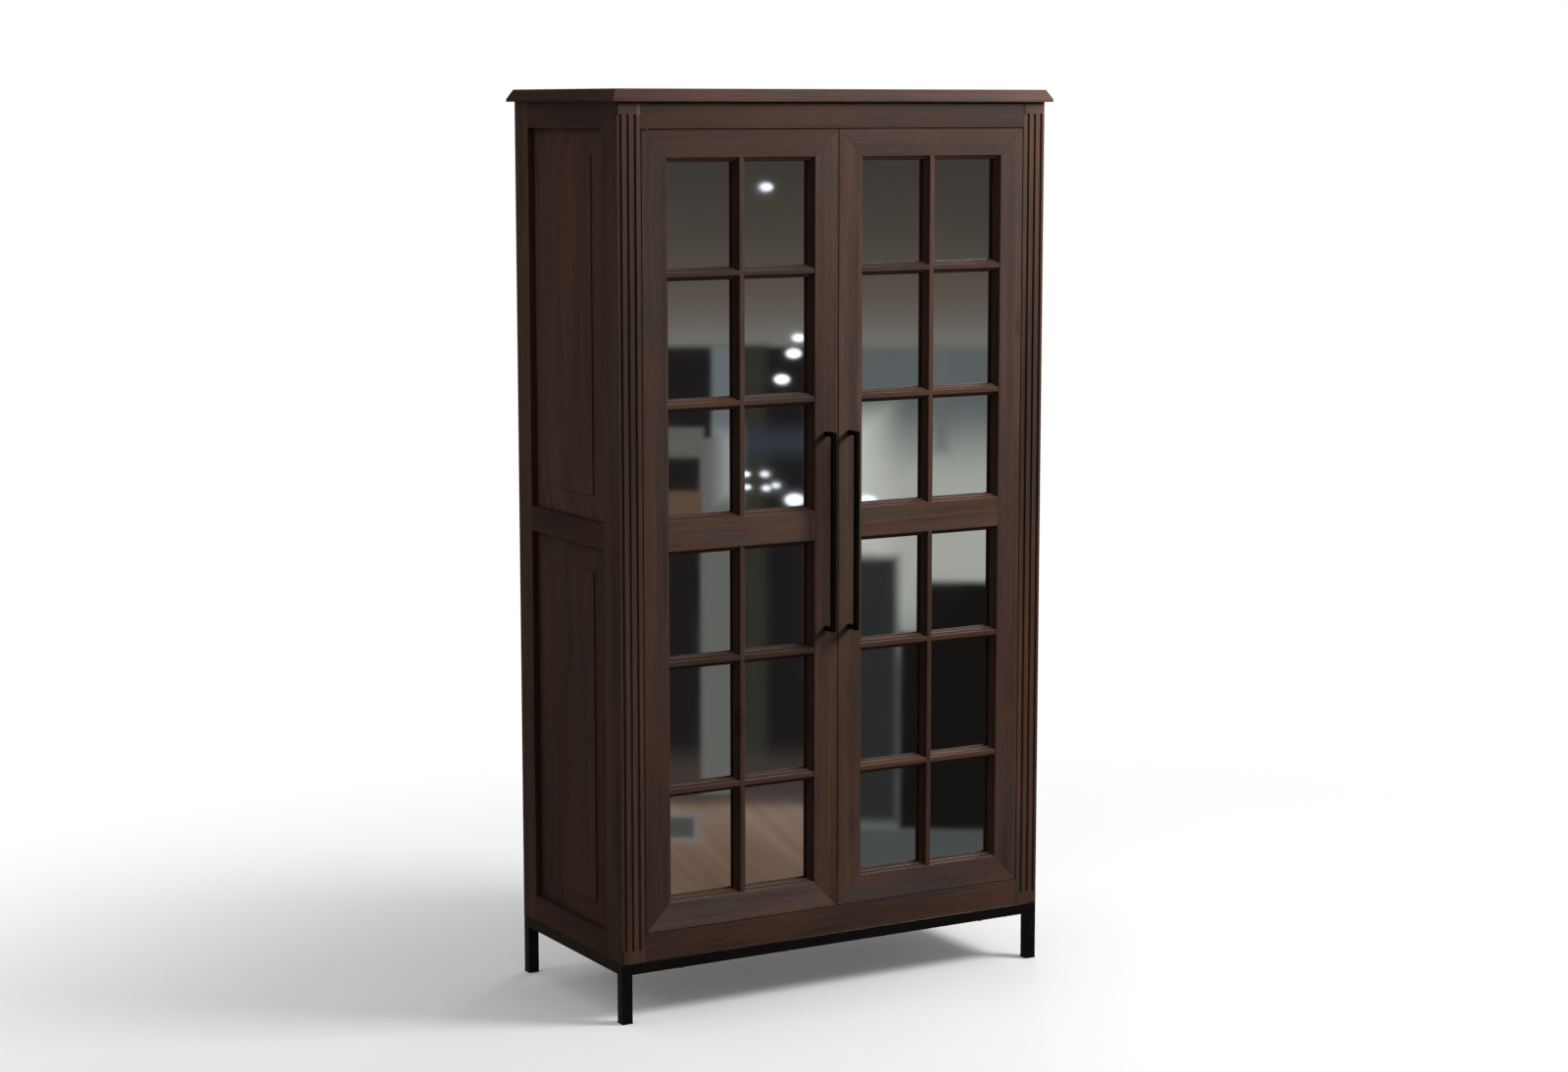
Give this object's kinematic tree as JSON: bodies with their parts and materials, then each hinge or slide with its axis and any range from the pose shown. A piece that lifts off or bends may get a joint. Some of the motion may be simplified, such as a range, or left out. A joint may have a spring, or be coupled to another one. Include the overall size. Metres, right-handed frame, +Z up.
{
  "type": "armoire",
  "caption": "Two-door wooden armoire with mirrored glazed-grid doors, fluted front posts, raised side panels and a square-tube black steel base.",
  "frame": {"origin": "on the floor under the centre of the bounding box, the handles included, so 10.5 mm in front of the middle of the wooden carcass", "axes": "+Z up, the doors face -Y, +X to the right seen from the front"},
  "size_m": [1.105, 0.542, 2],
  "materials": {
    "walnut_frame": "satin dark walnut stain with straight grain",
    "walnut_panel": "satin dark walnut stain, plain-sawn grain",
    "inside_wood": "satin walnut stain, lighter inside",
    "backing_board": "thin board, matt brown",
    "mirror": "clear silvered glass",
    "black_steel": "semi-gloss black powder coat",
    "handle_black": "satin black",
    "zinc_steel": "zinc plated",
    "chromed_steel": "polished",
    "black_nylon": "matt"
  },
  "bodies": {
    "carcass": {"left_front_post": "walnut_frame", "right_front_post": "walnut_frame", "front_top_rail": "walnut_frame", "front_bottom_rail": "walnut_frame", "left_side_front_stile": "walnut_frame", "right_side_front_stile": "walnut_frame", "left_side_rear_stile": "walnut_frame", "right_side_rear_stile": "walnut_frame", "left_side_rails": "walnut_frame", "right_side_rails": "walnut_frame", "left_upper_panel": "walnut_panel", "left_lower_panel": "walnut_panel", "right_upper_panel": "walnut_panel", "right_lower_panel": "walnut_panel", "back_rails": "inside_wood", "back_panels": "backing_board", "bottom_board": "inside_wood", "top_panel": "inside_wood", "cornice_front": "walnut_frame", "cornice_back": "walnut_frame", "cornice_left": "walnut_frame", "cornice_right": "walnut_frame", "hat_shelf": "inside_wood", "shelf_cleats": "inside_wood", "hanging_rail": "chromed_steel", "rail_sockets": "chromed_steel", "base_long_rails": "black_steel", "base_side_rails": "black_steel", "base_legs": "black_steel", "leg_glides": "black_nylon", "base_screws": "zinc_steel", "pivot_pins": "zinc_steel", "door_stop": "inside_wood", "magnetic_catches": "black_nylon"},
    "left_door": {"left_door_outer_stile": "walnut_frame", "left_door_inner_stile": "walnut_frame", "left_door_top_rail": "walnut_frame", "left_door_mid_rail": "walnut_frame", "left_door_bottom_rail": "walnut_frame", "left_door_grille": "walnut_frame", "left_door_mirrors": "mirror", "left_door_backings": "backing_board", "left_handle": "handle_black", "left_handle_screws": "zinc_steel", "left_pivot_bushes": "black_nylon", "left_strike_plate": "zinc_steel"},
    "right_door": {"right_door_outer_stile": "walnut_frame", "right_door_inner_stile": "walnut_frame", "right_door_top_rail": "walnut_frame", "right_door_mid_rail": "walnut_frame", "right_door_bottom_rail": "walnut_frame", "right_door_grille": "walnut_frame", "right_door_mirrors": "mirror", "right_door_backings": "backing_board", "right_handle": "handle_black", "right_handle_screws": "zinc_steel", "right_pivot_bushes": "black_nylon", "right_strike_plate": "zinc_steel"}
  },
  "joints": [
    {"name": "left_door_hinge", "type": "hinge", "parent": "carcass", "child": "left_door", "pos_m": [-0.464, -0.229, 1.0545], "axis": [0, 0, -1], "range_deg": [0, 110]},
    {"name": "right_door_hinge", "type": "hinge", "parent": "carcass", "child": "right_door", "pos_m": [0.464, -0.229, 1.0545], "axis": [0, 0, 1], "range_deg": [0, 110]}
  ]
}
